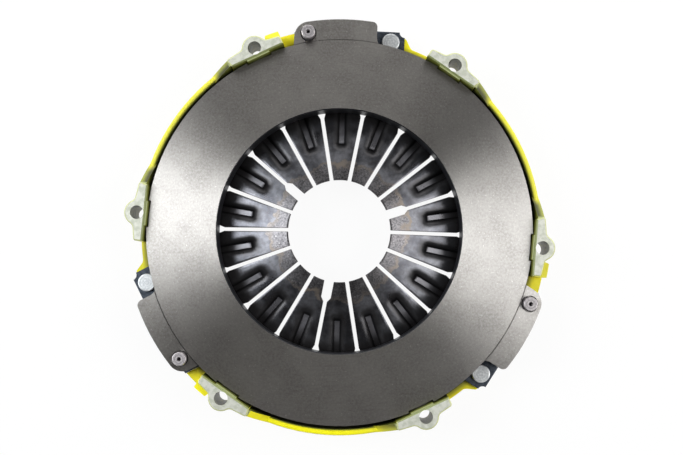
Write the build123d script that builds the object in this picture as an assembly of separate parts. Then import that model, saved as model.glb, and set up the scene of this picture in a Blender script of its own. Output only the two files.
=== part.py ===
from build123d import *
import os
from math import asin, cos, degrees, radians, sin, sqrt, tan

# Clutch pressure plate of the pull type: a cast cover that bolts to the flywheel, a diaphragm spring,
# and a cast iron plate with three lugs, held to the cover by packs of spring steel straps.
# Millimetres. The origin is the centre of the bolt circle, on the machined faces of the feet.
# +Z points at the flywheel, so every piece lies below the origin.

# Friction disc that the plate presses on
disc_diameter = 240.0
disc_bore_diameter = 155.0

# Pressure plate
face_margin_outside = 0.5
face_margin_inside = 1.0
face_depth = 4.34
plate_thickness = 14.0
plate_edge_chamfer = 0.5
plate_travel = 4.0
ridge_inset = 24.0
ridge_width = 9.0
ridge_crown_width = 3.6

# Lugs of the pressure plate
sector_count = 3
lug_margin = 7.4
lug_face_drop = 1.0
lug_pad_drop = 0.7
lug_pad_half_length = 9.2
lug_root_depth = 3.0
lug_heel_gap = 3.6
lug_rivet_end_reach = 8.7
lug_free_corner_radius = 3.4
lug_rivet_corner_radius = 9.5
strap_relief_height = 5.4
step_groove_width = 0.6
step_groove_depth = 0.5

# Straps, in packs of flat leaves
strap_turn = 86.87
rivet_pitch = 52.7
rivet_offset = 6.1
leaf_count = 4
leaf_thickness = 0.75
strap_width = 14.8
strap_cover_overhang = 9.0
strap_lug_overhang = 9.85
strap_notch_radius = 3.4

# Rivets
shank_diameter = 7.0
shank_clearance = 0.05
cover_rivet_head_diameter = 11.3
cover_rivet_head_height = 2.8
lug_rivet_head_diameter = 8.6
lug_rivet_stand = 4.2
lug_rivet_pilot_diameter = 2.6
lug_rivet_pilot_depth = 2.4
counterbore_diameter = 10.4
counterbore_depth = 3.7
tail_diameter = 10.4
tail_height = 2.6
rivet_edge_radius = 0.5
rivet_pocket_gap = 3.0
rivet_pocket_headroom = 0.7

# Diaphragm spring
fingertip_radius = 32.25
fingertip_depth = 10.9
cone_angle = 13.9
spring_thickness = 2.7
spring_edge_radius = 1.0
fulcrum_lever = 17.0
finger_count = 18
slot_turn = 18.6
slot_width = 2.3
notch_width = 6.0
notch_length = 10.4
notch_taper = 2.6
window_throat = 73.8
window_throat_step = 1.4
window_flare = 10.0
window_length = 4.0
window_width = 10.0
window_corner_radius = 3.0
bead_start = 49.8
bead_length = 27.0
bead_width = 10.5
bead_depth = 2.4
bead_floor_width = 3.0
bead_floor_radius = 0.75
bead_mouth_radius = 3.5
bead_end_run = 4.6

# Wire ring under the edge of the spring
wire_diameter = 4.0
wire_inset = 2.0
wire_clearance = 0.05
wire_groove_depth = 1.6
ridge_clearance = 0.3

# Cover
plate_gap = 3.0
cover_wall = 4.0
rim_depth = 10.5
shoulder_gap = 0.7
shoulder_drop = 4.0
neck_gap = 1.1
neck_wall = 3.6
floor_thickness = 4.0
cover_opening_radius = 84.0
cover_corner_radius = 3.5
rim_edge_radius = 1.5
shelf_gap = 1.0
shelf_margin = 6.2
shelf_thickness = 4.0
shelf_lead = 1.2
shelf_taper = 3.6
shelf_corner_radius = 1.5
shelf_hollow_radius = 5.0
shelf_root_inset = 0.1
shelf_end_gap = 0.5
cheek_lap = 3.0
window_end_gap = 0.1
window_depth_gap = 1.4

# Feet of the cover
foot_count = 6
foot_turn = 54.95
bolt_offset = 2.5
bolt_hole_diameter = 8.4
boss_wall = 3.7
foot_depth = 24.0
foot_gap = 0.7
foot_half_length = 17.6
foot_end_width = 5.3
foot_root_width = 8.1
foot_slant = 2.0
foot_end_radius = 1.6
foot_hollow_radius = 4.0
foot_edge_chamfer = 0.8
ramp_length = 14.0
ramp_drop = 1.0
spot_face_gap = 0.6
land_step = 1.0
land_half_length = 7.6
land_drop = 1.2
land_gap = 1.1
land_side_gap = 0.8
pad_drop = 6.0
pad_margin = 5.65
pad_start = 6.2
pad_slant = 3.0
pad_overhang = 0.4
pad_end_radius = 1.8

# Sizes worked out from the ones above
plate_radius = disc_diameter / 2 + face_margin_outside
plate_bore_radius = disc_bore_diameter / 2 - face_margin_inside
ridge_radius = plate_radius - ridge_inset
plate_face_z = -face_depth
plate_back_z = plate_face_z - plate_thickness
lug_face_z = plate_face_z - lug_face_drop
strap_top_z = plate_back_z - lug_pad_drop
shelf_z = strap_top_z - leaf_count * leaf_thickness
rivet_radius = plate_radius + rivet_offset
lug_radius = rivet_radius + lug_margin
strap_reach = rivet_pitch / 2
strap_distance = sqrt(rivet_radius**2 - strap_reach**2)
strap_start = -strap_reach - strap_cover_overhang
strap_end = strap_reach + strap_lug_overhang
shank_hole_radius = shank_diameter / 2 + shank_clearance
cover_rivet_head_radius = cover_rivet_head_diameter / 2
lug_heel_radius = cover_rivet_head_radius + lug_heel_gap
lug_free_end = lug_heel_radius - strap_reach
rivet_pocket_top = strap_top_z + cover_rivet_head_height + plate_travel + rivet_pocket_headroom
counterbore_z = lug_face_z - counterbore_depth

spring_radius = ridge_radius + fulcrum_lever
cone_slope = tan(radians(cone_angle))
cone_normal = Vector(sin(radians(cone_angle)), 0, cos(radians(cone_angle)))
cone_run = Vector(cos(radians(cone_angle)), 0, -sin(radians(cone_angle)))
half_rise = spring_thickness / 2 / cos(radians(cone_angle))
finger_spacing = 360 / finger_count
wire_radius = wire_diameter / 2
wire_ring_radius = spring_radius - wire_inset

cover_inner_radius = plate_radius + plate_gap
cover_radius = cover_inner_radius + cover_wall
neck_inner_radius = spring_radius + neck_gap
neck_radius = neck_inner_radius + neck_wall
shoulder_z = plate_back_z - plate_travel - shoulder_gap
shelf_inner_radius = plate_radius + shelf_gap
shelf_radius = rivet_radius + shelf_margin
window_start = strap_cover_overhang + shelf_end_gap - strap_reach
window_end = strap_end + window_end_gap
window_z = shelf_z - tail_height - plate_travel - window_depth_gap
bolt_circle_radius = cover_inner_radius + bolt_offset
boss_radius = bolt_hole_diameter / 2 + boss_wall
foot_distance = plate_radius + foot_gap
land_distance = foot_distance - land_step
foot_spacing = 360 / foot_count
sector_spacing = 360 / sector_count
clear_radius = 2 * cover_radius


def cone_z(radius):
    """Height of the middle of the spring's thickness."""
    return -fingertip_depth - (radius - fingertip_radius) * cone_slope


wire_z = cone_z(wire_ring_radius) - half_rise - (wire_radius + wire_clearance) / cos(radians(cone_angle))
groove_z = wire_z - wire_radius - wire_clearance
floor_z = groove_z + wire_groove_depth
back_z = floor_z - floor_thickness
ridge_z = cone_z(ridge_radius) + half_rise + ridge_clearance


def turned(shape, angle):
    """The shape turned about the clutch's axis."""
    return Rot(0, 0, angle) * shape


def sector_turns():
    return [sector_spacing * i for i in range(sector_count)]


def strap_turns():
    """Turns that bring the radial line +X to the middle of each strap."""
    return [strap_turn + turn for turn in sector_turns()]


def foot_turns():
    return [foot_turn + foot_spacing * i for i in range(foot_count)]


def polygon(*points):
    return make_face(Polyline(*points, close=True))


def plan_box(inside, outside, low, high):
    """A rectangle between two distances along the radial line +X and two sideways offsets."""
    return Pos((inside + outside) / 2, (low + high) / 2) * Rectangle(outside - inside, high - low)


def slab(face, low, high):
    """A plan outline made solid between two heights."""
    return extrude(Pos(0, 0, low) * face, high - low)


def through(face):
    """A plan outline made into a tool that cuts through the whole clutch."""
    return slab(face, back_z, 0)


def turned_profile(*points):
    """A ring made by turning a section, given as radius and height, about the axis."""
    section = make_face(Polyline(*[(radius, 0, height) for radius, height in points], close=True))
    return revolve(section, Axis.Z)


def distance_at(radius, offset):
    """Distance along a radial line to a circle, at a sideways offset."""
    return sqrt(radius**2 - offset**2)


# Strap leaf: spring steel, a hole for each rivet, the outer corners notched
def strap_leaf(layer):
    inside = strap_distance - strap_width / 2
    outside = strap_distance + strap_width / 2
    outline = plan_box(inside, outside, strap_start, strap_end)
    for end, hole in ((strap_start, -strap_reach), (strap_end, strap_reach)):
        outline -= Pos(outside, end) * Circle(strap_notch_radius)
        outline -= Pos(strap_distance, hole) * Circle(shank_hole_radius)
    top = strap_top_z - layer * leaf_thickness
    return slab(outline, top - leaf_thickness, top)


# Rivet: a head above, a shank through the hole, a formed tail below
def rivet(head_diameter, head_bottom, head_height, tail_top):
    head = slab(Circle(head_diameter / 2), head_bottom, head_bottom + head_height)
    head = fillet(head.edges().sort_by(Axis.Z)[-1], rivet_edge_radius)
    shank = slab(Circle(shank_diameter / 2), tail_top, head_bottom)
    tail = slab(Circle(tail_diameter / 2), tail_top - tail_height, tail_top)
    tail = fillet(tail.edges().sort_by(Axis.Z)[0], tail_height / 2)
    return head + shank + tail


def lug_rivet():
    """The head stands up out of its counterbore, and has a pilot hole."""
    top = lug_face_z + lug_rivet_stand
    body = rivet(lug_rivet_head_diameter, counterbore_z, top - counterbore_z, shelf_z)
    pilot = slab(Circle(lug_rivet_pilot_diameter / 2), top - lug_rivet_pilot_depth, top)
    return Pos(strap_distance, strap_reach, 0) * (body - pilot)


def cover_rivet():
    body = rivet(cover_rivet_head_diameter, strap_top_z, cover_rivet_head_height, shelf_z - shelf_thickness)
    return Pos(strap_distance, -strap_reach, 0) * body


# Diaphragm spring: a shallow cone of sheet, slotted into fingers that each have a pressed bead
def spring_slot(throat, notched):
    """Plan outline of one slot, from the axis to the window at its root."""
    slot = slot_width / 2
    window = window_width / 2
    flared = throat + window_flare
    end = flared + window_length
    outline = polygon(
        (0, -slot), (throat, -slot), (flared, -window), (end, -window),
        (end, window), (flared, window), (throat, slot), (0, slot),
    )
    corners = outline.vertices().group_by(Axis.X)[-2:]
    outline = fillet(corners[0] + corners[1], window_corner_radius)
    if notched:
        notch = notch_width / 2
        notch_end = fingertip_radius + notch_length
        outline += polygon(
            (0, -notch), (notch_end, -notch), (notch_end + notch_taper, -slot),
            (notch_end + notch_taper, slot), (notch_end, notch), (0, notch),
        )
    return outline


def bead(depth, growth):
    """Tapered block of one finger's bead, on the spring's upper face, grown sideways for the outer skin."""
    middle = bead_start + bead_length / 2
    foot = Vector(middle, 0, cone_z(middle)) + cone_normal * (spring_thickness / 2 - depth)
    floor = Plane(origin=foot, x_dir=cone_run, z_dir=cone_normal)
    floor_size = (bead_length - 2 * bead_end_run + 2 * growth, bead_floor_width + 2 * growth)
    mouth_size = (bead_length + 2 * growth, bead_width + 2 * growth)
    mouth = floor.offset(bead_depth)
    return loft([
        floor * RectangleRounded(*floor_size, bead_floor_radius),
        mouth * RectangleRounded(*mouth_size, bead_mouth_radius),
    ])


def diaphragm_spring():
    inner = Vector(fingertip_radius, 0, cone_z(fingertip_radius))
    outer = Vector(spring_radius, 0, cone_z(spring_radius))
    half = cone_normal * (spring_thickness / 2)
    section = make_face(Polyline(inner - half, outer - half, outer + half, inner + half, close=True))
    section = fillet(section.vertices().sort_by(Axis.X)[-2:], spring_edge_radius)
    spring = revolve(section, Axis.Z)
    slots = [slot_turn + finger_spacing * i for i in range(finger_count)]
    fingers = [slot + finger_spacing / 2 for slot in slots]
    skin = bead(bead_depth + spring_thickness, spring_thickness / 2)
    hollow = bead(bead_depth, 0)
    spring += [turned(skin, angle) for angle in fingers]
    spring -= [turned(hollow, angle) for angle in fingers]
    cuts = []
    for i, slot in enumerate(slots):
        notched = i % (finger_count // sector_count) == 0
        outline = spring_slot(window_throat + window_throat_step * (i % 2), notched)
        cuts.append(turned(through(outline), slot))
    return spring - cuts


# Wire ring that the edge of the spring rocks on
def fulcrum_ring():
    return Pos(0, 0, wire_z) * Torus(wire_ring_radius, wire_radius)


# Pressure plate: a cast ring with the ground friction face, a ridge that the spring presses, and three lugs
def plate_ring():
    ring = turned_profile(
        (plate_bore_radius, plate_face_z), (plate_radius, plate_face_z), (plate_radius, plate_back_z),
        (ridge_radius + ridge_width / 2, plate_back_z), (ridge_radius + ridge_crown_width / 2, ridge_z),
        (ridge_radius - ridge_crown_width / 2, ridge_z + ridge_crown_width * cone_slope),
        (ridge_radius - ridge_width / 2, plate_back_z), (plate_bore_radius, plate_back_z),
    )
    bore_edges = ring.edges().filter_by(GeomType.CIRCLE).sort_by(lambda edge: edge.radius)[:2]
    return chamfer(bore_edges, plate_edge_chamfer)


def lug_outline():
    """Plan of a lug. Its heel, in the corner at the ring, curves round the head of the cover rivet."""
    high = strap_reach + lug_rivet_end_reach
    inside = distance_at(plate_radius, high) - lug_root_depth
    outline = plan_box(inside, clear_radius, lug_free_end, high) & Circle(lug_radius)
    free_corner = outline.vertices().group_by(Axis.Y)[0].sort_by(Axis.X)[-1]
    outline = fillet(free_corner, lug_free_corner_radius)
    rivet_corner = outline.vertices().group_by(Axis.Y)[-1].sort_by(Axis.X)[-1]
    outline = fillet(rivet_corner, lug_rivet_corner_radius)
    heel = plan_box(inside, strap_distance, -strap_reach, lug_free_end)
    return outline + (heel - Pos(strap_distance, -strap_reach) * Circle(lug_heel_radius))


def strap_relief():
    """Room under the lug for the strap's free length, as far as the pad at its riveted end."""
    inside = strap_distance - strap_width / 2 - shelf_gap
    face = plan_box(inside, clear_radius, -window_end, strap_reach - lug_pad_half_length)
    return slab(face, back_z, strap_top_z + strap_relief_height)


def rivet_pocket():
    """Pocket in the back of the ring that the head of the cover rivet enters as the plate draws back."""
    radius = cover_rivet_head_radius + rivet_pocket_gap
    return Pos(strap_distance, -strap_reach, 0) * slab(Circle(radius), back_z, rivet_pocket_top)


def lug_bore():
    bore = through(Circle(shank_hole_radius)) + slab(Circle(counterbore_diameter / 2), counterbore_z, 0)
    return Pos(strap_distance, strap_reach, 0) * bore


def step_groove():
    """Fine groove at the foot of the step from the friction face to the lugs."""
    ring = Circle(plate_radius + step_groove_width) - Circle(plate_radius)
    return slab(ring, lug_face_z - step_groove_depth, 0)


def land_notch():
    """Notch in the ring's edge that clears the land inside a foot."""
    half = land_half_length + land_side_gap
    return slab(plan_box(0, clear_radius, -half, half) - Circle(land_distance - land_gap), plate_back_z, 0)


def pressure_plate():
    plate = plate_ring()
    lug = slab(lug_outline(), strap_top_z, lug_face_z)
    plate += [turned(lug, turn) for turn in strap_turns()]
    for tool in (strap_relief(), rivet_pocket(), lug_bore()):
        plate -= [turned(tool, turn) for turn in strap_turns()]
    plate -= step_groove()
    return plate - [turned(land_notch(), turn) for turn in foot_turns()]


# Cover: a casting with a stepped wall, six feet, and a window, a shelf and a cheek at each strap
def cover_shell():
    shell = turned_profile(
        (cover_inner_radius, -rim_depth), (cover_inner_radius, shoulder_z),
        (neck_inner_radius, shoulder_z - shoulder_drop), (neck_inner_radius, floor_z),
        (cover_opening_radius, floor_z), (cover_opening_radius, back_z), (neck_radius, back_z),
        (neck_radius, shoulder_z - shoulder_drop - neck_wall), (cover_radius, shoulder_z - cover_wall),
        (cover_radius, -rim_depth),
    )
    by_height = shell.faces().sort_by(Axis.Z)
    shell = fillet(by_height[0].outer_wire().edges(), cover_corner_radius)
    shell = fillet(shell.faces().sort_by(Axis.Z)[-1].edges(), rim_edge_radius)
    groove = Pos(0, 0, wire_z) * Torus(wire_ring_radius, wire_radius + wire_clearance)
    return shell - groove


def shelf_outline():
    """Plan of the ledge that carries the riveted end of a strap, with an S-shaped run back to the rim."""
    end = strap_start - shelf_lead
    far = end - shelf_taper
    outer = Vector(distance_at(shelf_radius, end), end)
    rim_radius = cover_radius - shelf_root_inset
    inner = Vector(distance_at(rim_radius, far), far)
    root = distance_at(cover_inner_radius, far)
    ledge = polygon(
        (root, window_start), (clear_radius, window_start), (clear_radius, end), outer, inner, (root, far)
    )
    rim = plan_box(root, clear_radius, far - shelf_hollow_radius, window_start) & Circle(rim_radius)
    outline = (ledge & Circle(shelf_radius)) + rim
    outline = fillet(outline.vertices().sort_by_distance(outer)[0], shelf_corner_radius)
    outline = fillet(outline.vertices().sort_by_distance(inner)[0], shelf_hollow_radius)
    return outline - Circle(shelf_inner_radius)


def cheek_outline():
    """Plan of the ledge between the window and the next foot, which it runs under."""
    turn_to_foot = foot_turn + foot_spacing - strap_turn
    end_turn = turn_to_foot - degrees(asin(foot_half_length / bolt_circle_radius))
    end = cover_radius * sin(radians(end_turn))
    ledge = plan_box(distance_at(cover_inner_radius, end), clear_radius, window_end, end + cheek_lap)
    return (ledge & Circle(shelf_radius)) - Circle(cover_inner_radius)


def strap_tools():
    """What is cut from the cover at a strap: the window, the rivet's hole and the pocket for its tail."""
    window = slab(plan_box(spring_radius, clear_radius, window_start, window_end), window_z, 0)
    pocket = slab(Circle(tail_diameter / 2 + spot_face_gap), back_z, shelf_z - shelf_thickness)
    return window + Pos(strap_distance, -strap_reach, 0) * (pocket + through(Circle(shank_hole_radius)))


def bolt_tools():
    """The bolt hole of a foot, and the spot face behind it."""
    spot_face = slab(Circle(boss_radius + spot_face_gap), back_z, -foot_depth)
    return Pos(bolt_circle_radius, 0, 0) * (spot_face + through(Circle(bolt_hole_diameter / 2)))


def foot_outline():
    """Plan of a foot: a boss round the bolt hole and two arms along the rim, one with a slanted end."""
    end = foot_distance + foot_end_width
    arms = polygon(
        (foot_distance, -foot_half_length), (end, -foot_half_length), (foot_distance + foot_root_width, 0),
        (end, foot_half_length + foot_slant), (foot_distance, foot_half_length),
    )
    arms = fillet(arms.vertices().group_by(Axis.X)[1], foot_end_radius)
    boss = Pos(bolt_circle_radius, 0) * Circle(boss_radius)
    outline = arms + (boss & plan_box(foot_distance, clear_radius, -boss_radius, boss_radius))
    hollows = outline.vertices().filter_by(lambda v: v.X > bolt_circle_radius and abs(v.Y) < boss_radius)
    return fillet(hollows, foot_hollow_radius)


def foot_ramp():
    """Wedge that runs from the slanted end of a foot down to the top of the rim."""
    top = foot_half_length + foot_slant / 2
    low = -rim_depth - rim_edge_radius
    side = Plane.YZ * polygon((0, low), (0, -ramp_drop), (top, -ramp_drop), (top + ramp_length, low))
    rim = slab(Circle(cover_radius) - Circle(cover_inner_radius), low, -ramp_drop)
    return extrude(side, clear_radius) & rim


def foot():
    """A foot with the rim's ramp on its +Y side."""
    body = slab(foot_outline(), -foot_depth, 0)
    body = chamfer(body.faces().sort_by(Axis.Z)[-1].edges(), foot_edge_chamfer)
    land = plan_box(land_distance, foot_distance + land_step, -land_half_length, land_half_length)
    return body + slab(land, -foot_depth, -land_drop) + foot_ramp()


def foot_pad():
    """Raised block outside the square-ended arm of a foot."""
    radius = rivet_radius + pad_margin
    inside = foot_distance + land_step
    end = -foot_half_length - pad_overhang
    block = polygon((inside, -pad_start), (radius, -pad_start - pad_slant), (radius, end), (inside, end))
    block = fillet(block.vertices().group_by(Axis.X)[-1], pad_end_radius)
    return slab(block & Circle(radius), -foot_depth, -pad_drop)


def cover():
    body = cover_shell()
    sector = polygon((0, 0), (clear_radius, 0), Vector(clear_radius, 0).rotate(Axis.Z, foot_spacing))
    body -= [turned(slab(sector, shelf_z, 0), foot_turn + turn) for turn in sector_turns()]
    ledges = slab(shelf_outline() + cheek_outline(), shelf_z - shelf_thickness, shelf_z)
    body += [turned(ledges, turn) for turn in strap_turns()]
    body -= [turned(strap_tools(), turn) for turn in strap_turns()]
    mirrored = mirror(foot(), about=Plane.XZ)
    body += [turned(mirrored, turn) for turn in foot_turns()[0::2]]
    body += [turned(foot() + foot_pad(), turn) for turn in foot_turns()[1::2]]
    return body - [turned(bolt_tools(), turn) for turn in foot_turns()]


def save(node, shape):
    shape.label = node
    export_step(shape, f"parts/{node}.step")


os.makedirs("parts", exist_ok=True)
save("cover", cover())
save("fulcrum_ring", fulcrum_ring())
save("diaphragm_spring", diaphragm_spring())
save("pressure_plate", pressure_plate())
for pack, turn in enumerate(strap_turns(), 1):
    save(f"cover_rivet_{pack}", turned(cover_rivet(), turn))
    save(f"lug_rivet_{pack}", turned(lug_rivet(), turn))
    for layer in range(leaf_count):
        save(f"strap_{pack}_leaf_{layer + 1}", turned(strap_leaf(layer), turn))
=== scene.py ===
from math import asin, cos, degrees, pi, radians, sin, sqrt, tan

import bmesh
import bpy
from mathutils import Matrix, Vector


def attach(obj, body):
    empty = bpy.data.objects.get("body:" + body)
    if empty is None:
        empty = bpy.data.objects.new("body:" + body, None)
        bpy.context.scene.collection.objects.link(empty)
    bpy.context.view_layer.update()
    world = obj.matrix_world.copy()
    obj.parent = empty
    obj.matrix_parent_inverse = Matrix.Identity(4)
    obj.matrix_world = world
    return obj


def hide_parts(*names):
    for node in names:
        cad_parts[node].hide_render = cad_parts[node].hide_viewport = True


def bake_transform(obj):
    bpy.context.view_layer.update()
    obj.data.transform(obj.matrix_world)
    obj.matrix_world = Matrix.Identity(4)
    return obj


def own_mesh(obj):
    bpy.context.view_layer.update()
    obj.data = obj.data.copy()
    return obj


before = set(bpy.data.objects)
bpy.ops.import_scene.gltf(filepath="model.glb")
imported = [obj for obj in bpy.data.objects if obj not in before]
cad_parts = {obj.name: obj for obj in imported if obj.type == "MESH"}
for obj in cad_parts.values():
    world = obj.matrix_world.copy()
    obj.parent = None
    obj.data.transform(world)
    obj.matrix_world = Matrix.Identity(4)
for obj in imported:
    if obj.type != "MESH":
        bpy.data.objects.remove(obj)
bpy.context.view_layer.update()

MM = 0.001


# Cover
# A cast cover, painted gloss yellow all over. The six feet are then milled flat where they bolt to the
# flywheel, so their faces are bare metal with a thin line of paint left round the edge.

def colour(red, green, blue):
    """A colour as a paint shop writes it, 0 to 255, in the shader's own terms."""
    def linear(value):
        """One of its three parts, with the curve of a screen taken out."""
        share = value / 255
        return share / 12.92 if share <= 0.04045 else ((share + 0.055) / 1.055) ** 2.4
    return (linear(red), linear(green), linear(blue), 1.0)


def put(tree, kind, inputs=None, **settings):
    """A new node in a finish, with its settings made and its inputs set or wired."""
    made = tree.nodes.new("ShaderNode" + kind)
    for name, value in settings.items():
        setattr(made, name, value)
    for socket, value in (inputs or {}).items():
        if isinstance(value, bpy.types.NodeSocket):
            tree.links.new(value, made.inputs[socket])
        else:
            made.inputs[socket].default_value = value
    return made


def new_finish(name, **sockets):
    """An empty finish: its material, its tree and its shader, with plain values on its sockets."""
    material = bpy.data.materials.new(name)
    material.use_nodes = True
    shader = material.node_tree.nodes["Principled BSDF"]
    for socket, value in sockets.items():
        shader.inputs[socket.replace("_", " ").title()].default_value = value
    return material, material.node_tree, shader


def wire(tree, shader, **sockets):
    """Tones and measures of a finish, wired to the shader's sockets."""
    for socket, value in sockets.items():
        tree.links.new(value, shader.inputs[socket.replace("_", " ").title()])


def calc(tree, operation, first, second=0.0, third=0.0):
    """One step of arithmetic in a finish."""
    made = put(tree, "Math", {0: first, 1: second, 2: third}, operation=operation)
    return made.outputs[0]


def vector(tree, operation, first, second=(0.0, 0.0, 0.0)):
    """One step of vector arithmetic in a finish."""
    made = put(tree, "VectorMath", {0: first, 1: second}, operation=operation)
    return made.outputs["Value" if operation in ("LENGTH", "DOT_PRODUCT") else "Vector"]


def place(tree):
    """Where the point is on the part, in millimetres."""
    return vector(tree, "MULTIPLY", put(tree, "TexCoord").outputs["Object"], (1 / MM,) * 3)


def grain(tree, point, scale, detail=3.0, roughness=0.55):
    """Soft irregular speckle from 0 to 1, with this many specks to the millimetre."""
    sockets = {"Vector": point, "Scale": scale, "Detail": detail, "Roughness": roughness}
    return put(tree, "TexNoise", sockets).outputs["Fac"]


def step(tree, value, start, end, outputs=(0.0, 1.0)):
    """A soft step of a value, from the first output at start to the second at end."""
    if start > end:
        start, end, outputs = end, start, outputs[::-1]
    sockets = {
        "Value": value, "From Min": start, "From Max": end,
        "To Min": outputs[0], "To Max": outputs[1],
    }
    return put(tree, "MapRange", sockets, interpolation_type="SMOOTHSTEP").outputs["Result"]


def overlap(tree, *shares):
    """The share that all of these have in common."""
    product = shares[0]
    for share in shares[1:]:
        product = calc(tree, "MULTIPLY", product, share)
    return product


def zones_of(tree, measures, table):
    """The share of each zone in a table of limits: a measure, where the zone starts, where it is full."""
    zones = {}
    for zone, limits in table.items():
        shares = [step(tree, measures[name], start, full) for name, start, full in limits]
        zones[zone] = overlap(tree, *shares)
    return zones


def blend_colours(tree, share, first, second):
    """The first colour where share is 0, the second where it is 1. A mix takes its colours by number."""
    made = put(tree, "Mix", {0: share, 6: first, 7: second}, data_type="RGBA")
    return made.outputs[2]


def mixed(tree, value, start, end, tones):
    """Two tones, shared out over a surface by a value that runs from start to end."""
    return blend_colours(tree, step(tree, value, start, end), *tones)


def layered(tree, tone, *layers):
    """A tone with layers laid over it, each by its share."""
    for share, over in layers:
        tone = blend_colours(tree, share, tone, over)
    return tone


def relief(tree, shader, height, depth):
    """Fine surface relief of this depth in millimetres."""
    bump = put(tree, "Bump", {"Height": height, "Distance": depth * MM, "Strength": 1.0})
    wire(tree, shader, normal=bump.outputs["Normal"])


def facing_up(tree):
    """1 on faces that look at the flywheel, 0 on walls, -1 on undersides."""
    normal = put(tree, "NewGeometry").outputs["Normal"]
    return put(tree, "SeparateXYZ", {"Vector": normal}).outputs["Z"]


def in_plan(tree, point):
    """The point in plan, and the direction in which it lies from the axis."""
    flat = vector(tree, "MULTIPLY", point, (1.0, 1.0, 0.0))
    return flat, vector(tree, "NORMALIZE", flat)


def facing_out(tree, point):
    """1 on walls that face away from the axis, -1 on walls that face it."""
    normal = put(tree, "NewGeometry").outputs["Normal"]
    return vector(tree, "DOT_PRODUCT", normal, in_plan(tree, point)[1])


def across_corner(tree, first, second):
    """The long side of a right angle with these two short sides."""
    squares = calc(tree, "MULTIPLY_ADD", first, first, calc(tree, "MULTIPLY", second, second))
    return calc(tree, "SQRT", squares)


def folded(tree, point, turn, count):
    """The point seen from the nearest of a ring of radial lines: how far along it, how far across it,
    and the point's radius."""
    axes = put(tree, "SeparateXYZ", {"Vector": point}).outputs
    radius = across_corner(tree, axes["X"], axes["Y"])
    angle = calc(tree, "SUBTRACT", calc(tree, "ARCTAN2", axes["Y"], axes["X"]), radians(turn))
    angle = calc(tree, "WRAP", angle, pi / count, -pi / count)
    along = calc(tree, "MULTIPLY", radius, calc(tree, "COSINE", angle))
    across = calc(tree, "MULTIPLY", radius, calc(tree, "SINE", angle))
    return along, across, radius


def distance_from(tree, along, across, spot_along, spot_across):
    """Distance in plan from one spot."""
    first = calc(tree, "SUBTRACT", along, spot_along)
    return across_corner(tree, first, calc(tree, "SUBTRACT", across, spot_across))


def finish_node(node, material):
    """The finish goes on the CAD piece itself."""
    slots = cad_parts[node].material_slots
    for slot in slots:
        slot.material = material
    if not slots:
        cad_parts[node].data.materials.append(material)


FOOT_TURN = 54.95
FEET = 6
BOLT_CIRCLE_RADIUS = 126.0
BOLT_HOLE_RADIUS = 4.2

# The tilt of a face is what facing_up says of it, and its turn what facing_out says. The side is how
# far the point lies to the cover's lower left, where the rim and ramps get painted light.
SIDE_SLANT = 0.35
COVER_ZONES = {
    "low": (("height", -10.0, -15.0),),
    "outer wall": (("turn", 0.3, 0.9), ("tilt", 0.5, 0.2)),
    "flange": (("radius", 128.5, 124.0), ("tilt", 0.3, 0.8)),
    "rim": (("height", -11.2, -10.8), ("tilt", 0.2, 0.7)),
    "rim outside": (("radius", 123.6, 125.8),),
    "painted light side": (("side", -104.0, -126.0),),
    "inner wall": (("turn", 0.0, -0.7), ("tilt", 0.97, 0.8)),
    "well": (("radius", 124.6, 123.0),),
    "well floor": (("tilt", 0.1, 0.4),),
    "well wall": (("turn", -0.1, -0.4),),
    "ramp": (("tilt", 0.5, 0.7), ("tilt", 0.92, 0.84), ("height", -11.8, -7.0)),
    "ramp outside": (("radius", 124.0, 127.5),),
    "worn edge": (("height", -1.9, -1.3),),
    "worn edge top": (("height", -1.1, -0.9),),
    "milled": (("height", -0.5, -0.2), ("tilt", 0.9, 0.99)),
    "drilled": (("to hole", BOLT_HOLE_RADIUS + 0.3, BOLT_HOLE_RADIUS + 0.1), ("tilt", 0.6, 0.2)),
}

PAINT = colour(244, 232, 10), colour(252, 242, 34)
# Painted shade: a darker yellow on the outer walls, which keeps them from washing out under the side lamps.
OUTER_WALL_SHADE_TONE = colour(208, 193, 8)
# Painted shade: olive on the low flats beside the plate, deeper towards the axis.
FLANGE_SHADE_TONE = colour(132, 128, 14)
# Painted shade and painted light on the rim's rounded top: olive on its inner side, bright yellow on its
# outer side.
RIM_SHADE_TO_LIGHT = colour(138, 136, 40), colour(228, 222, 58)
# Painted light on the rim on the lower left side.
LIT_SIDE_RIM_TONE = colour(250, 242, 12)
# Olive on walls that face the axis: thin paint over machined metal, with painted shade.
INNER_WALL_THIN_PAINT_AND_SHADE = colour(126, 131, 56)
# Painted shade, near black, on the low inner walls and in the well inside the rim.
LOW_INNER_WALL_SHADE = colour(34, 34, 14)
WELL_SHADE_TONE = colour(44, 44, 18)
# Painted shade on the ramps beside the feet, darker on their inner side.
RAMP_SHADE_TONES = colour(66, 68, 36), colour(158, 162, 74)
# Painted light on the ramps on the lower left side.
LIT_SIDE_RAMP_TONE = colour(240, 230, 20)
WORN_EDGE_PAINT = colour(146, 153, 104), colour(198, 202, 146)
# The edge band where it faces the axis: thin paint, with painted shade.
INNER_EDGE_THIN_PAINT_AND_SHADE = colour(134, 142, 92)
MILLED_METAL = colour(202, 203, 192), colour(178, 181, 166)
DRILLED_METAL = colour(88, 92, 78), colour(144, 144, 128)


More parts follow.
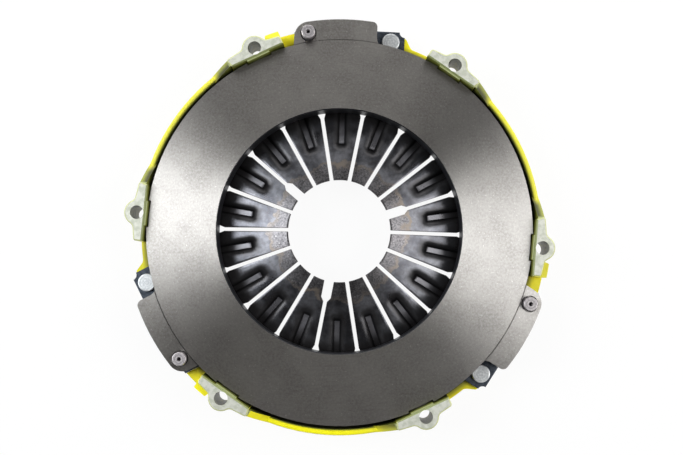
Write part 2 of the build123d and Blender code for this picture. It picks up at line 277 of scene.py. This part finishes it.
def cover_paint():
    """Yellow paint with painted shade and painted light laid on it, olive and thin on walls that face the
    axis, and bare metal on the feet and in their holes.
    """
    material, tree, shader = new_finish("cover_paint")
    point = place(tree)
    x, y, height = put(tree, "SeparateXYZ", {"Vector": point}).outputs
    along, across, radius = folded(tree, point, FOOT_TURN, FEET)
    measures = {
        "height": height,
        "radius": radius,
        "side": calc(tree, "MULTIPLY_ADD", x, SIDE_SLANT, y),
        "to hole": distance_from(tree, along, across, BOLT_CIRCLE_RADIUS, 0.0),
        "tilt": facing_up(tree),
        "turn": facing_out(tree, point),
    }
    zones = zones_of(tree, measures, COVER_ZONES)
    mottle = grain(tree, point, 0.26, detail=4.0)

    # rim: painted shade on the rim's inner side, painted light on its outer side and on the lower left.
    rim = blend_colours(tree, zones["rim outside"], *RIM_SHADE_TO_LIGHT)
    rim = blend_colours(tree, zones["painted light side"], rim, LIT_SIDE_RIM_TONE)
    # ramp: painted shade, with painted light on the lower left.
    ramp = blend_colours(tree, zones["ramp outside"], *RAMP_SHADE_TONES)
    ramp = blend_colours(tree, zones["painted light side"], ramp, LIT_SIDE_RAMP_TONE)
    worn = blend_colours(tree, zones["worn edge top"], *WORN_EDGE_PAINT)
    # The edge band is darker on walls that face the axis: thin paint, with painted shade.
    worn = blend_colours(tree, zones["inner wall"], worn, INNER_EDGE_THIN_PAINT_AND_SHADE)
    inside = calc(tree, "MAXIMUM", zones["well floor"], zones["well wall"])
    toned = layered(
        tree, mixed(tree, mottle, 0.3, 0.7, PAINT),
        # Painted shade on the outer walls.
        (zones["outer wall"], OUTER_WALL_SHADE_TONE),
        # Painted shade on the low flats.
        (overlap(tree, zones["flange"], zones["low"]), FLANGE_SHADE_TONE),
        (zones["rim"], rim),
        # Thin paint with painted shade on the inner walls.
        (zones["inner wall"], INNER_WALL_THIN_PAINT_AND_SHADE),
        # Painted shade, near black, low on the inner walls and in the well.
        (overlap(tree, zones["inner wall"], zones["low"]), LOW_INNER_WALL_SHADE),
        (overlap(tree, zones["well"], zones["low"], inside), WELL_SHADE_TONE),
        # Painted shade and painted light on the ramps.
        (zones["ramp"], ramp),
        (zones["worn edge"], worn),
        (zones["milled"], mixed(tree, mottle, 0.4, 0.62, MILLED_METAL)),
        (zones["drilled"], mixed(tree, mottle, 0.35, 0.65, DRILLED_METAL)),
    )
    bare = calc(tree, "MAXIMUM", zones["milled"], zones["drilled"])
    wire(
        tree, shader, base_color=toned,
        metallic=step(tree, bare, 0.0, 1.0, (0.0, 0.25)),
        roughness=step(tree, mottle, 0.3, 0.7, (0.36, 0.5)),
    )
    relief(tree, shader, grain(tree, point, 0.9, detail=2.0), 0.03)
    return material


finish_node("cover", cover_paint())


# Wire ring
# Hard drawn steel wire bent into a ring. It lies in a groove of the cover's floor, and the edge of the
# spring rocks on it.

WIRE_STEEL = colour(70, 70, 74), colour(104, 102, 100)


def drawn_wire():
    """Drawn steel, faintly mottled by oil."""
    material, tree, shader = new_finish("drawn_wire", metallic=1.0, roughness=0.35)
    mottle = grain(tree, place(tree), 0.26)
    wire(tree, shader, base_color=blend_colours(tree, mottle, *WIRE_STEEL))
    return material


finish_node("fulcrum_ring", drawn_wire())


# Diaphragm spring
# One disc of spring steel, 2.7 mm thick, slotted into 18 fingers and pressed to a shallow cone. Each finger
# has a pressed bead that stiffens it. The steel is oil black, and its tips are brown from being hardened.

FINGERS = 18
SECTOR = 360 / FINGERS
SLOT_TURN = 18.6
TIP_RADIUS = 32.25
RIM_RADIUS = 113.5
TIP_DEPTH = 10.9
CONE_ANGLE = 13.9
CONE_SLOPE = tan(radians(CONE_ANGLE))
SPRING_THICKNESS = 2.7
HALF_RISE = SPRING_THICKNESS / 2 / cos(radians(CONE_ANGLE))

# The slots: every sixth has a wide notch at the tips, and each flares to a window with round corners.
SLOT_HALF = 1.15
NOTCH_EVERY = 6
NOTCH_HALF = 3.0
NOTCH_END = TIP_RADIUS + 10.4
NOTCH_TAPER = 2.6
THROATS = (73.8, 75.2)
FLARE = 10.0
WINDOW_LENGTH = 4.0
WINDOW_HALF = 5.0
WINDOW_CORNER = 3.0

# The beads: a flat floor that runs on under the plate, with soft bends at its sides and end.
BEAD_FLOOR_START = 57.0
BEAD_FLOOR_END = 84.0
BEAD_FLOOR_HALF = 1.45
BEAD_DEPTH = 2.4
BEAD_SIDE_RUN = 4.2
BEAD_END_RUN = 6.0

# The sheet's seam and edges, its rows in steps of radius, and its columns across half a finger.
TINY = 0.001
SEAM_GAP = 0.01
EDGE_ANGLE = 50.0
EDGE_ROUNDING = 0.35
EVEN_ROWS = 62
LEAST_ROW = 0.4
BEND_ROWS = (0, 0.08, 0.2, 0.36, 0.55, 0.76, 1)
OUTER_BEND_ROWS = (0, 0.3)
CORNER_ROWS = (0, 22.5, 45, 67.5, 90)
BEAD_COLUMNS = (0.8, 1.45, 1.8, 2.3, 3.1, 4.2, 5.65)
BEAD_MARGIN = 0.8
EDGE_COLUMNS = 3
HALF_COLUMNS = len(BEAD_COLUMNS) + EDGE_COLUMNS + 1

# Zones of the finish. A ragged radius wanders with the grain, and the bead is the distance from a bead's
# floor, as a share of its bend.
TIP_WANDER = 22.0
SHADE_WANDER = 8.0
SPRING_ZONES = {
    "tips": (("ragged tip radius", 55.6, 54.0),),
    "outer tips": (("ragged tip radius", 50.4, 53.2),),
    "bead floor": (("bead", 0.1, 0.0),),
    # Painted shade goes in the bends round each bead and in the ring out under the plate's bore.
    "bead bend": (("bead", 0.0, 0.16), ("bead", 1.45, 0.6)),
    "bead crease": (("bead", 0.0, 0.12), ("bead", 0.5, 0.14)),
    "shade under plate": (("ragged shade radius", 68.0, 78.0),),
}

OILED_STEEL = colour(74, 75, 80), colour(118, 119, 124)
OIL_STAIN = colour(70, 66, 66)
TIP_STEEL = colour(68, 66, 67), colour(124, 121, 122)
TIP_SPARK = colour(180, 178, 176)
HEAT_LINE = colour(112, 104, 96)
# Painted highlight on the bead floors.
BEAD_FLOOR_PAINTED_LIGHT = colour(110, 108, 111)
# Painted shade for the bead bends and the ring under the plate.
SPRING_PAINTED_SHADE = colour(36, 34, 34)
# Painted shade in the creases of the beads.
CREASE_PAINTED_SHADE = colour(16, 15, 16)


def slot_end(index):
    """Radius at which a slot's window ends."""
    return THROATS[index % 2] + FLARE + WINDOW_LENGTH


def slot_half_width(index, radius):
    """Half the width of a slot at a radius. Past the end of its window it stays as it is there."""
    throat = THROATS[index % 2]
    past_corner = radius - (slot_end(index) - WINDOW_CORNER)
    if past_corner > 0:
        return WINDOW_HALF - WINDOW_CORNER + sqrt(max(WINDOW_CORNER**2 - past_corner**2, 0.0))
    if radius > throat:
        share = min((radius - throat) / FLARE, 1.0)
        return SLOT_HALF + share * (WINDOW_HALF - SLOT_HALF)
    if index % NOTCH_EVERY == 0 and radius < NOTCH_END + NOTCH_TAPER:
        share = max((radius - NOTCH_END) / NOTCH_TAPER, 0.0)
        return NOTCH_HALF + share * (SLOT_HALF - NOTCH_HALF)
    return SLOT_HALF


def row_radii():
    """Radii of the sheet's rows: even steps, and one at each corner of the slots, windows and beads."""
    rows = {TIP_RADIUS, RIM_RADIUS, NOTCH_END, NOTCH_END + NOTCH_TAPER}
    rows |= {BEAD_FLOOR_START - BEAD_END_RUN * share for share in BEND_ROWS}
    rows |= {BEAD_FLOOR_END + BEAD_END_RUN * share for share in OUTER_BEND_ROWS}
    for index, throat in enumerate(THROATS):
        rows |= {throat, throat + FLARE}
        rows |= {slot_end(index) - WINDOW_CORNER * (1 - sin(radians(turn))) for turn in CORNER_ROWS}
    for i in range(1, EVEN_ROWS):
        radius = TIP_RADIUS + (RIM_RADIUS - TIP_RADIUS) * i / EVEN_ROWS
        if min(abs(radius - row) for row in rows) > LEAST_ROW:
            rows.add(radius)
    return sorted(rows)


def column_across(column, half_width):
    """Distance from a finger's middle line to one of its columns. Those at the bead run level with it."""
    full = BEAD_COLUMNS[-1]
    last = full * min(half_width / (full + BEAD_MARGIN), 1.0)
    if column <= len(BEAD_COLUMNS):
        return (0.0, *BEAD_COLUMNS)[column] * last / full
    return last + (half_width - last) * (column - len(BEAD_COLUMNS)) / EDGE_COLUMNS


def bead_drop(along, across):
    """How far the bead is pressed below the cone: a flat floor, steep beside it and easing out all round."""
    past_end = max(BEAD_FLOOR_START - along, along - BEAD_FLOOR_END, 0.0) / BEAD_END_RUN
    past_side = max(abs(across) - BEAD_FLOOR_HALF, 0.0) / BEAD_SIDE_RUN
    out = min(sqrt(past_end**2 + past_side**2), 1.0)
    return BEAD_DEPTH * (1 - out) ** 2


def sheet_point(column, radius):
    """Where a point of the flat grid goes, and whether it lies in the middle of a slot, to be cut away."""
    finger, step_in = divmod(column, 2 * HALF_COLUMNS)
    near = step_in <= HALF_COLUMNS
    slot = finger if near else finger + 1
    steps = step_in if near else 2 * HALF_COLUMNS - step_in
    turn = 0.0
    if steps:
        edge = degrees(asin(slot_half_width(slot % FINGERS, radius) / radius))
        half = radius * sin(radians(SECTOR / 2 - edge))
        offset = column_across(HALF_COLUMNS - steps, half)
        turn = SECTOR / 2 - degrees(asin(offset / radius))
    from_middle = radians(SECTOR / 2 - turn)
    drop = bead_drop(radius * cos(from_middle), radius * sin(from_middle))
    height = -TIP_DEPTH - (radius - TIP_RADIUS) * CONE_SLOPE + HALF_RISE - drop
    angle = radians(SLOT_TURN + SECTOR * slot) + radians(turn if near else -turn)
    in_slot = steps == 0 and radius < slot_end(slot % FINGERS) - TINY
    return Vector((radius * cos(angle), radius * sin(angle), height)) * MM, in_slot


def diaphragm_mesh():
    """A flat grid, wrapped round the axis and pressed to shape, then given the sheet's thickness."""
    rows = row_radii()
    columns = 2 * HALF_COLUMNS * FINGERS
    mesh = bmesh.new()
    bmesh.ops.create_grid(mesh, x_segments=columns, y_segments=len(rows) - 1, size=0.5)
    cut_away = []
    for vertex in mesh.verts:
        column = round((vertex.co.x + 0.5) * columns)
        radius = rows[round((vertex.co.y + 0.5) * (len(rows) - 1))]
        vertex.co, in_slot = sheet_point(column, radius)
        if in_slot:
            cut_away.append(vertex)
    bmesh.ops.delete(mesh, geom=cut_away, context="VERTS")
    bmesh.ops.remove_doubles(mesh, verts=mesh.verts, dist=SEAM_GAP * MM)
    bmesh.ops.recalc_face_normals(mesh, faces=mesh.faces)
    if sum(face.normal.z for face in mesh.faces) < 0:
        bmesh.ops.reverse_faces(mesh, faces=mesh.faces)
    under = bmesh.ops.extrude_face_region(mesh, geom=mesh.faces[:])
    lowered = [item for item in under["geom"] if isinstance(item, bmesh.types.BMVert)]
    bmesh.ops.translate(mesh, verts=lowered, vec=(0, 0, -2 * HALF_RISE * MM))
    bmesh.ops.recalc_face_normals(mesh, faces=mesh.faces)
    least = radians(EDGE_ANGLE)
    sharp = [edge for edge in mesh.edges if edge.is_manifold and edge.calc_face_angle() > least]
    bmesh.ops.bevel(
        mesh, geom=sharp, offset=EDGE_ROUNDING * MM, segments=2, profile=0.5,
        affect="EDGES", material=-1,
    )
    return mesh


def new_piece(name, mesh, material, sharp_angle=35.0):
    """An object in the part's frame, from a finished mesh."""
    data = bpy.data.meshes.new(name)
    mesh.to_mesh(data)
    mesh.free()
    for polygon in data.polygons:
        polygon.use_smooth = True
    data.set_sharp_from_angle(angle=radians(sharp_angle))
    data.materials.append(material)
    piece = bpy.data.objects.new(name, data)
    bpy.context.scene.collection.objects.link(piece)
    return piece


def from_bead_floor(tree, along, across):
    """Distance from a bead's floor, as a share of the bend beside it or at its end."""
    past_end = calc(tree, "MAXIMUM", calc(tree, "SUBTRACT", BEAD_FLOOR_START, along), 0.0)
    past_side = calc(tree, "SUBTRACT", calc(tree, "ABSOLUTE", across), BEAD_FLOOR_HALF)
    past_side = calc(tree, "MAXIMUM", past_side, 0.0)
    return across_corner(
        tree, calc(tree, "DIVIDE", past_end, BEAD_END_RUN), calc(tree, "DIVIDE", past_side, BEAD_SIDE_RUN)
    )


def spring_black():
    """Oil black steel with a grey sheen. Painted shade darkens the bends and creases round the beads and the
    ring out at the rim under the plate, a painted highlight lightens the bead floors, and the hardened tips
    are lighter, speckled and edged with a ragged brown line."""
    material, tree, shader = new_finish("spring_black")
    point = place(tree)
    along, across, radius = folded(tree, point, SLOT_TURN + SECTOR / 2, FINGERS)
    cloud = grain(tree, point, 0.075, detail=5.0)
    fine = grain(tree, point, 0.42, detail=4.0)
    ragged = grain(tree, point, 0.11, detail=6.0)
    measures = {
        "ragged tip radius": calc(tree, "MULTIPLY_ADD", ragged, TIP_WANDER, radius),
        "ragged shade radius": calc(tree, "MULTIPLY_ADD", cloud, SHADE_WANDER, radius),
        "bead": from_bead_floor(tree, along, across),
    }
    zones = zones_of(tree, measures, SPRING_ZONES)

    sparks = step(tree, grain(tree, point, 1.1, detail=2.0), 0.62, 0.72, (0.0, 0.6))
    tips = mixed(tree, grain(tree, point, 0.9, detail=4.0, roughness=0.6), 0.3, 0.7, TIP_STEEL)
    tips = blend_colours(tree, sparks, tips, TIP_SPARK)
    patches = step(tree, grain(tree, point, 0.046, detail=2.0), 0.4, 0.6, (0.45, 1.0))
    line = overlap(tree, zones["tips"], zones["outer tips"], patches)
    # scale holds the painted shade: the bends round the beads and the ring out under the plate.
    scale = calc(
        tree, "MAXIMUM",
        overlap(tree, zones["bead bend"], 0.84), overlap(tree, zones["shade under plate"], 0.9),
    )
    toned = layered(
        tree, mixed(tree, cloud, 0.35, 0.65, OILED_STEEL),
        (step(tree, fine, 0.35, 0.7, (0.0, 0.4)), OIL_STAIN),
        (overlap(tree, zones["tips"], 0.75), tips),
        (line, HEAT_LINE),
        (overlap(tree, zones["bead floor"], 0.5), BEAD_FLOOR_PAINTED_LIGHT),
        (scale, SPRING_PAINTED_SHADE),
        (overlap(tree, zones["bead crease"], 0.8), CREASE_PAINTED_SHADE),
    )
    dull = calc(tree, "MAXIMUM", scale, overlap(tree, line, 0.75))
    dull = calc(tree, "MAXIMUM", dull, zones["bead floor"])
    wire(
        tree, shader, base_color=toned,
        metallic=step(tree, dull, 0.0, 1.0, (0.95, 0.6)),
        roughness=step(tree, cloud, 0.3, 0.7, (0.27, 0.37)),
    )
    relief(tree, shader, fine, 0.03)
    return material


diaphragm = new_piece("diaphragm", diaphragm_mesh(), spring_black(), sharp_angle=40.0)
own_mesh(diaphragm)
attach(diaphragm, "cover")
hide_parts("diaphragm_spring")


# Pressure plate
# Grey cast iron. The friction face is ground while the plate turns, which leaves fine rings that catch the
# light in two broad fans. The lugs are milled a step lower.

RINGS_PER_MM = 3.6
RING_WANDER = 0.42

GROUND_IRON = colour(151, 148, 144), colour(170, 167, 163)
FINE_IRON = colour(188, 185, 181)
RING_MARKS = colour(128, 124, 120)
BRIGHT_SPECKS = colour(226, 224, 220)
# Dark on the walls: as-cast iron on the sides, and painted shade on the machined chamfers.
WALL_IRON_AND_EDGE_SHADE = colour(34, 35, 39)


def ground_iron():
    """Bright ground faces with rings and specks in them, and dark walls: as-cast iron on the sides, and
    painted shade on the machined chamfers.
    """
    material, tree, shader = new_finish("ground_iron", roughness=0.42)
    point = place(tree)
    flat, radial = in_plan(tree, point)
    rings = calc(tree, "MULTIPLY", vector(tree, "LENGTH", flat), RINGS_PER_MM)
    rings = put(tree, "CombineXYZ", {"X": rings}).outputs[0]
    wander = vector(tree, "MULTIPLY", flat, (RING_WANDER, RING_WANDER, 0.0))
    marks = grain(tree, vector(tree, "ADD", rings, wander), 1.0)
    cloud = grain(tree, point, 0.045)
    fine = grain(tree, point, 0.7, detail=4.0, roughness=0.7)
    specks = grain(tree, point, 0.9, detail=1.0)
    walls = step(tree, facing_up(tree), 0.95, 0.75)
    toned = layered(
        tree, mixed(tree, cloud, 0.32, 0.68, GROUND_IRON),
        (step(tree, fine, 0.35, 0.65, (0.0, 0.6)), FINE_IRON),
        (step(tree, marks, 0.35, 0.75, (0.0, 0.3)), RING_MARKS),
        (step(tree, specks, 0.68, 0.76, (0.0, 0.6)), BRIGHT_SPECKS),
        (walls, WALL_IRON_AND_EDGE_SHADE),
    )
    wire(
        tree, shader, base_color=toned, tangent=radial,
        metallic=step(tree, walls, 0.0, 1.0, (1.0, 0.3)),
        anisotropic=step(tree, walls, 0.0, 0.5, (0.9, 0.0)),
    )
    relief(tree, shader, fine, 0.004)
    return material


finish_node("pressure_plate", ground_iron())


# Straps
# Packs of four flat leaves of blue-black spring steel. One end is riveted to the cover and the other to a
# lug, so the leaves bend to an S as the plate moves.

STRAP_TURN = 86.87
STRAP_DISTANCE = 123.83
STRAP_REACH = 26.35
STRAP_DEPTH = 20.5
FREE_HALF = 17.0
LEAVES = 4
PACKS = 3
BENDING_LENGTHS = 20

BLUED_STEEL = colour(50, 55, 63), colour(78, 84, 93)


def blued_steel():
    """Spring steel, blued in the heat and faintly mottled."""
    material, tree, shader = new_finish("blued_steel", metallic=0.75, roughness=0.44)
    mottle = grain(tree, place(tree), 0.42, detail=4.0)
    wire(tree, shader, base_color=mixed(tree, mottle, 0.3, 0.7, BLUED_STEEL))
    return material


def strap_point(turn, along):
    """A point on a strap's middle line, at a distance along it from the middle."""
    return Matrix.Rotation(radians(turn), 3, "Z") @ Vector((STRAP_DISTANCE, along, -STRAP_DEPTH)) * MM


def leaf_mesh(node, turn):
    """The leaf cut across into short lengths."""
    mesh = bmesh.new()
    mesh.from_mesh(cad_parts[node].data)
    bmesh.ops.remove_doubles(mesh, verts=mesh.verts, dist=TINY * MM)
    across = strap_point(turn, 1.0) - strap_point(turn, 0.0)
    for i in range(BENDING_LENGTHS + 1):
        cut = strap_point(turn, FREE_HALF * (2 * i / BENDING_LENGTHS - 1))
        bmesh.ops.bisect_plane(
            mesh, geom=mesh.verts[:] + mesh.edges[:] + mesh.faces[:], dist=TINY * MM,
            plane_co=cut, plane_no=across,
        )
    return mesh


strap_finish = blued_steel()
for pack in range(PACKS):
    turn = STRAP_TURN + 360 / PACKS * pack
    for layer in range(LEAVES):
        node = f"strap_{pack + 1}_leaf_{layer + 1}"
        leaf = new_piece(f"strap_{pack + 1}_blade_{layer + 1}", leaf_mesh(node, turn), strap_finish)
        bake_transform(leaf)
        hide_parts(node)


# Rivets
# Mild steel, headed cold in the machine. Three hold the straps to the cover, with broad flat heads, and
# three hold them to the lugs, with small heads that lie in counterbores.

LUG_HEAD_RADIUS = 4.3
GROOVE_RADIUS = 0.6 * LUG_HEAD_RADIUS
PILOT_RADIUS = 1.0
TOOL_RINGS = 4.2
TOOL_RING_WANDER = 6.0

COVER_RIVET_STEEL = colour(196, 200, 202), colour(236, 238, 238)
TOOL_RING_STEEL = colour(170, 174, 178)
LUG_RIVET_STEEL = colour(164, 159, 161), colour(196, 191, 191)
GROOVE_STEEL = colour(120, 116, 118)
PILOT_SHADE = colour(34, 32, 36)


def from_rivet(tree, point, strap_along):
    """Distance in plan from the nearest rivet at this place along a strap."""
    along, across, _ = folded(tree, point, STRAP_TURN, PACKS)
    return distance_from(tree, along, across, STRAP_DISTANCE, strap_along)


def cover_rivet_steel():
    """Bright plated head, faintly ringed and mottled by the tool that formed it."""
    material, tree, shader = new_finish("cover_rivet_steel", metallic=0.75, roughness=0.38)
    point = place(tree)
    centre = from_rivet(tree, point, -STRAP_REACH)
    tone = grain(tree, point, 0.7, detail=5.0, roughness=0.65)
    wander = calc(tree, "MULTIPLY", tone, TOOL_RING_WANDER)
    rings = calc(tree, "SINE", calc(tree, "MULTIPLY_ADD", centre, TOOL_RINGS, wander))
    toned = layered(
        tree, mixed(tree, tone, 0.3, 0.7, COVER_RIVET_STEEL),
        (step(tree, rings, 0.2, 1.0, (0.0, 0.35)), TOOL_RING_STEEL),
    )
    wire(tree, shader, base_color=toned)
    relief(tree, shader, tone, 0.03)
    return material


def lug_rivet_steel():
    """Small turned head: a pale ring, a darker groove inside it and a dark pilot hole."""
    material, tree, shader = new_finish("lug_rivet_steel", metallic=0.75, roughness=0.4)
    point = place(tree)
    centre = from_rivet(tree, point, STRAP_REACH)
    from_groove = calc(tree, "ABSOLUTE", calc(tree, "SUBTRACT", centre, GROOVE_RADIUS))
    toned = layered(
        tree, mixed(tree, grain(tree, point, 0.7, detail=4.0), 0.3, 0.7, LUG_RIVET_STEEL),
        (step(tree, from_groove, 0.1, 0.5, (0.55, 0.0)), GROOVE_STEEL),
        (step(tree, centre, PILOT_RADIUS + 0.2, PILOT_RADIUS), PILOT_SHADE),
    )
    wire(tree, shader, base_color=toned)
    return material


cover_rivet_finish = cover_rivet_steel()
lug_rivet_finish = lug_rivet_steel()
for pack in range(PACKS):
    finish_node(f"cover_rivet_{pack + 1}", cover_rivet_finish)
    finish_node(f"lug_rivet_{pack + 1}", lug_rivet_finish)


# Studio
# A pale floor under the part, soft lamps on the left and right, weaker ones above and below, and a weak sky.
# The floor is clear from underneath, so that the back can be looked at too.

FLOOR_DEPTH = 38.5
FLOOR_HALF = 3000.0
FLOOR_GREY = (0.8, 0.8, 0.8, 1.0)
WHITE = (1.0, 1.0, 1.0, 1.0)
SHADOW_SHARE = 0.07
SHADOW_NEAR, SHADOW_FAR = 400.0, 1200.0
SKY_TONE = (0.06, 0.057, 0.055, 1.0)
HORIZON = (0.02, 0.12)

# Each lamp's name, its azimuth and elevation in degrees, its distance, width and height in metres, its
# brightness and its tint.
LAMPS = (
    ("lamp_left", 170, 42, 1.2, 0.55, 0.9, 8.6, (0.94, 0.97, 1.0)),
    ("lamp_right", 358, 42, 1.2, 0.9, 0.9, 4.9, (1.0, 1.0, 1.0)),
    ("lamp_top", 90, 27, 1.3, 1.9, 0.8, 2.5, (1.0, 1.0, 1.0)),
    ("lamp_below", 60, -60, 1.3, 1.2, 1.2, 1.6, (1.0, 1.0, 1.0)),
)


def seen_directly(tree):
    """1 for a ray that the eye sees by, straight or by way of metal or glass."""
    path = put(tree, "LightPath").outputs
    seen = calc(tree, "MAXIMUM", path["Is Camera Ray"], path["Is Glossy Ray"])
    return calc(tree, "MAXIMUM", seen, path["Is Transmission Ray"])


def floor_white():
    """Pale under the lamps, and near plain white to the eye, with a faint shadow left in it."""
    material, tree, shader = new_finish("floor_white", base_color=FLOOR_GREY, roughness=0.9)
    white = put(tree, "Emission", {"Color": WHITE, "Strength": 1.0}).outputs[0]
    from_part = vector(tree, "LENGTH", place(tree))
    lit = step(tree, from_part, SHADOW_NEAR, SHADOW_FAR, (1 - SHADOW_SHARE, 1.0))
    share = overlap(tree, seen_directly(tree), lit)
    top = put(tree, "MixShader", {0: share, 1: shader.outputs[0], 2: white}).outputs[0]
    shadow_ray = put(tree, "LightPath").outputs["Is Shadow Ray"]
    clear = calc(tree, "MAXIMUM", put(tree, "NewGeometry").outputs["Backfacing"], shadow_ray)
    sheer = put(tree, "BsdfTransparent").outputs[0]
    surface = put(tree, "MixShader", {0: clear, 1: top, 2: sheer}).outputs[0]
    tree.links.new(surface, tree.nodes["Material Output"].inputs["Surface"])
    return material


floor_mesh = bmesh.new()
bmesh.ops.create_grid(floor_mesh, x_segments=1, y_segments=1, size=FLOOR_HALF * MM)
bmesh.ops.translate(floor_mesh, verts=floor_mesh.verts, vec=(0, 0, -FLOOR_DEPTH * MM))
floor = new_piece("floor", floor_mesh, floor_white())


def lamp(name, azimuth, elevation, distance, width, height, brightness, tint):
    """A soft oblong lamp aimed at the part, seen from it at this azimuth and elevation."""
    light = bpy.data.lights.new(name, "AREA")
    light.shape = "RECTANGLE"
    light.size = width
    light.size_y = height
    light.energy = brightness * pi * width * height
    light.color = tint
    around = Matrix.Rotation(radians(azimuth + 90), 4, "Z")
    tilted = Matrix.Rotation(radians(90 - elevation), 4, "X")
    made = bpy.data.objects.new(name, light)
    made.matrix_world = around @ tilted @ Matrix.Translation((0, 0, distance))
    bpy.context.scene.collection.objects.link(made)


for lamp_settings in LAMPS:
    lamp(*lamp_settings)

world = bpy.data.worlds.new("sky")
world.use_nodes = True
sky = world.node_tree
sky_height = put(sky, "SeparateXYZ", {"Vector": put(sky, "TexCoord").outputs["Generated"]}).outputs["Z"]
low_sky = step(sky, sky_height, *HORIZON, (1.0, 0.0))
camera_ray = put(sky, "LightPath").outputs["Is Camera Ray"]
sky_white = calc(sky, "MAXIMUM", overlap(sky, seen_directly(sky), low_sky), camera_ray)
wire(sky, sky.nodes["Background"], color=blend_colours(sky, sky_white, SKY_TONE, WHITE))
bpy.context.scene.world = world
bpy.context.scene.view_settings.view_transform = "Standard"


# Camera
# Straight in front of the friction face, a little low and to one side, about 0.54 m away.

CAMERA_PLACE = Vector((5.30, -30.62, 539.9)) * MM
CAMERA_PITCH = -3.411
CAMERA_YAW = -0.405
FOCAL_LENGTH_PIXELS = 875.07
FRAME_WIDTH_PIXELS = 683
SENSOR_WIDTH = 36.0

camera_data = bpy.data.cameras.new("camera")
camera_data.sensor_width = SENSOR_WIDTH
camera_data.lens = FOCAL_LENGTH_PIXELS / FRAME_WIDTH_PIXELS * SENSOR_WIDTH
camera = bpy.data.objects.new("camera", camera_data)
to_camera = Matrix.Rotation(radians(CAMERA_YAW), 4, "Y") @ Matrix.Rotation(radians(CAMERA_PITCH), 4, "X")
camera.matrix_world = Matrix.Translation(CAMERA_PLACE) @ to_camera.transposed()
bpy.context.scene.collection.objects.link(camera)
bpy.context.scene.camera = camera
